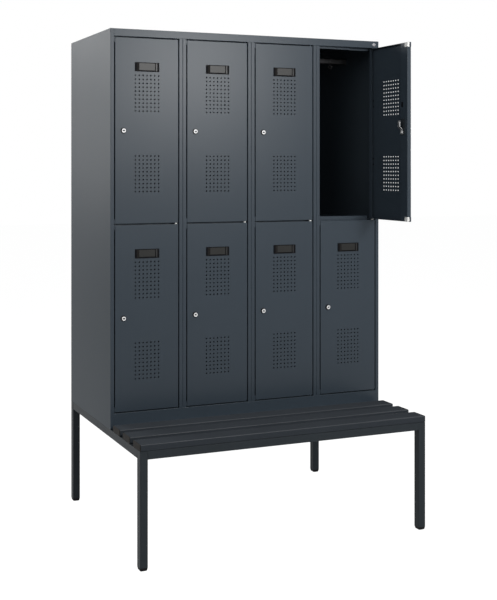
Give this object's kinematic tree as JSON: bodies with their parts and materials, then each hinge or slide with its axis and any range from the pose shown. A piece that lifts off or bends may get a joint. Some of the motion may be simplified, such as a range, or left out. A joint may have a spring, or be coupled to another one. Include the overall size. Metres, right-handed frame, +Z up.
{
  "type": "locker with bench",
  "caption": "Two-tier steel clothes locker with pan doors and cam locks on a square-tube frame that carries a slatted seat in front.",
  "frame": {"origin": "on the floor, under the middle of the object's box at rest", "axes": "+Z up, -Y towards the front with doors and bench, +X to the right seen from the front"},
  "size_m": [1.2, 0.81, 1.9503],
  "materials": {
    "body_steel": "satin anthracite powder coat",
    "frame_steel": "satin near-black powder coat",
    "slat_plastic": "matt dark grey slats",
    "label_plastic": "satin black label frame",
    "lock_metal": "nickel-plated lock parts",
    "rail_metal": "plain steel coat rail",
    "foot_plastic": "black foot cap"
  },
  "bodies": {
    "cabinet_and_bench": {"side_wall_left": "body_steel", "side_wall_right": "body_steel", "back_wall": "body_steel", "top_panel": "body_steel", "bottom_panel": "body_steel", "partition_1": "body_steel", "partition_2": "body_steel", "partition_3": "body_steel", "mid_shelf_1": "body_steel", "mid_shelf_2": "body_steel", "mid_shelf_3": "body_steel", "mid_shelf_4": "body_steel", "coat_rail_upper_1": "rail_metal", "coat_rail_upper_2": "rail_metal", "coat_rail_upper_3": "rail_metal", "coat_rail_upper_4": "rail_metal", "coat_rail_lower_1": "rail_metal", "coat_rail_lower_2": "rail_metal", "coat_rail_lower_3": "rail_metal", "coat_rail_lower_4": "rail_metal", "bench_frame": "frame_steel", "slat_1": "slat_plastic", "slat_2": "slat_plastic", "slat_3": "slat_plastic", "foot_front_left": "foot_plastic", "foot_front_right": "foot_plastic", "foot_rear_left": "foot_plastic", "foot_rear_right": "foot_plastic"},
    "door_upper_1": {"door_upper_1": "body_steel", "label_frame_upper_1": "label_plastic", "lock_barrel_upper_1": "lock_metal"},
    "lock_cam_upper_1": {"lock_cam_upper_1": "lock_metal"},
    "door_upper_2": {"door_upper_2": "body_steel", "label_frame_upper_2": "label_plastic", "lock_barrel_upper_2": "lock_metal"},
    "lock_cam_upper_2": {"lock_cam_upper_2": "lock_metal"},
    "door_upper_3": {"door_upper_3": "body_steel", "label_frame_upper_3": "label_plastic", "lock_barrel_upper_3": "lock_metal"},
    "lock_cam_upper_3": {"lock_cam_upper_3": "lock_metal"},
    "door_upper_4": {"door_upper_4": "body_steel", "label_frame_upper_4": "label_plastic", "lock_barrel_upper_4": "lock_metal"},
    "lock_cam_upper_4": {"lock_cam_upper_4": "lock_metal"},
    "door_lower_1": {"door_lower_1": "body_steel", "label_frame_lower_1": "label_plastic", "lock_barrel_lower_1": "lock_metal"},
    "lock_cam_lower_1": {"lock_cam_lower_1": "lock_metal"},
    "door_lower_2": {"door_lower_2": "body_steel", "label_frame_lower_2": "label_plastic", "lock_barrel_lower_2": "lock_metal"},
    "lock_cam_lower_2": {"lock_cam_lower_2": "lock_metal"},
    "door_lower_3": {"door_lower_3": "body_steel", "label_frame_lower_3": "label_plastic", "lock_barrel_lower_3": "lock_metal"},
    "lock_cam_lower_3": {"lock_cam_lower_3": "lock_metal"},
    "door_lower_4": {"door_lower_4": "body_steel", "label_frame_lower_4": "label_plastic", "lock_barrel_lower_4": "lock_metal"},
    "lock_cam_lower_4": {"lock_cam_lower_4": "lock_metal"}
  },
  "joints": [
    {"name": "door_hinge_upper_1", "type": "hinge", "parent": "cabinet_and_bench", "child": "door_upper_1", "pos_m": [-0.327, -0.088, 1.2043], "axis": [0, 0, 1], "range_deg": [0, 110]},
    {"name": "lock_turn_upper_1", "type": "hinge", "parent": "door_upper_1", "child": "lock_cam_upper_1", "pos_m": [-0.547, -0.088, 1.5608], "axis": [0, -1, 0], "range_deg": [0, 90]},
    {"name": "door_hinge_upper_2", "type": "hinge", "parent": "cabinet_and_bench", "child": "door_upper_2", "pos_m": [-0.027, -0.088, 1.2043], "axis": [0, 0, 1], "range_deg": [0, 110]},
    {"name": "lock_turn_upper_2", "type": "hinge", "parent": "door_upper_2", "child": "lock_cam_upper_2", "pos_m": [-0.247, -0.088, 1.5608], "axis": [0, -1, 0], "range_deg": [0, 90]},
    {"name": "door_hinge_upper_3", "type": "hinge", "parent": "cabinet_and_bench", "child": "door_upper_3", "pos_m": [0.273, -0.088, 1.2043], "axis": [0, 0, 1], "range_deg": [0, 110]},
    {"name": "lock_turn_upper_3", "type": "hinge", "parent": "door_upper_3", "child": "lock_cam_upper_3", "pos_m": [0.053, -0.088, 1.5608], "axis": [0, -1, 0], "range_deg": [0, 90]},
    {"name": "door_hinge_upper_4", "type": "hinge", "parent": "cabinet_and_bench", "child": "door_upper_4", "pos_m": [0.573, -0.088, 1.2043], "axis": [0, 0, 1], "range_deg": [-90, 20]},
    {"name": "lock_turn_upper_4", "type": "hinge", "parent": "door_upper_4", "child": "lock_cam_upper_4", "pos_m": [0.573, -0.308, 1.5608], "axis": [1, 0, 0], "range_deg": [0, 90]},
    {"name": "door_hinge_lower_1", "type": "hinge", "parent": "cabinet_and_bench", "child": "door_lower_1", "pos_m": [-0.327, -0.088, 0.4863], "axis": [0, 0, 1], "range_deg": [0, 110]},
    {"name": "lock_turn_lower_1", "type": "hinge", "parent": "door_lower_1", "child": "lock_cam_lower_1", "pos_m": [-0.547, -0.088, 0.8428], "axis": [0, -1, 0], "range_deg": [0, 90]},
    {"name": "door_hinge_lower_2", "type": "hinge", "parent": "cabinet_and_bench", "child": "door_lower_2", "pos_m": [-0.027, -0.088, 0.4863], "axis": [0, 0, 1], "range_deg": [0, 110]},
    {"name": "lock_turn_lower_2", "type": "hinge", "parent": "door_lower_2", "child": "lock_cam_lower_2", "pos_m": [-0.247, -0.088, 0.8428], "axis": [0, -1, 0], "range_deg": [0, 90]},
    {"name": "door_hinge_lower_3", "type": "hinge", "parent": "cabinet_and_bench", "child": "door_lower_3", "pos_m": [0.273, -0.088, 0.4863], "axis": [0, 0, 1], "range_deg": [0, 110]},
    {"name": "lock_turn_lower_3", "type": "hinge", "parent": "door_lower_3", "child": "lock_cam_lower_3", "pos_m": [0.053, -0.088, 0.8428], "axis": [0, -1, 0], "range_deg": [0, 90]},
    {"name": "door_hinge_lower_4", "type": "hinge", "parent": "cabinet_and_bench", "child": "door_lower_4", "pos_m": [0.573, -0.088, 0.4863], "axis": [0, 0, 1], "range_deg": [0, 110]},
    {"name": "lock_turn_lower_4", "type": "hinge", "parent": "door_lower_4", "child": "lock_cam_lower_4", "pos_m": [0.353, -0.088, 0.8428], "axis": [0, -1, 0], "range_deg": [0, 90]}
  ]
}
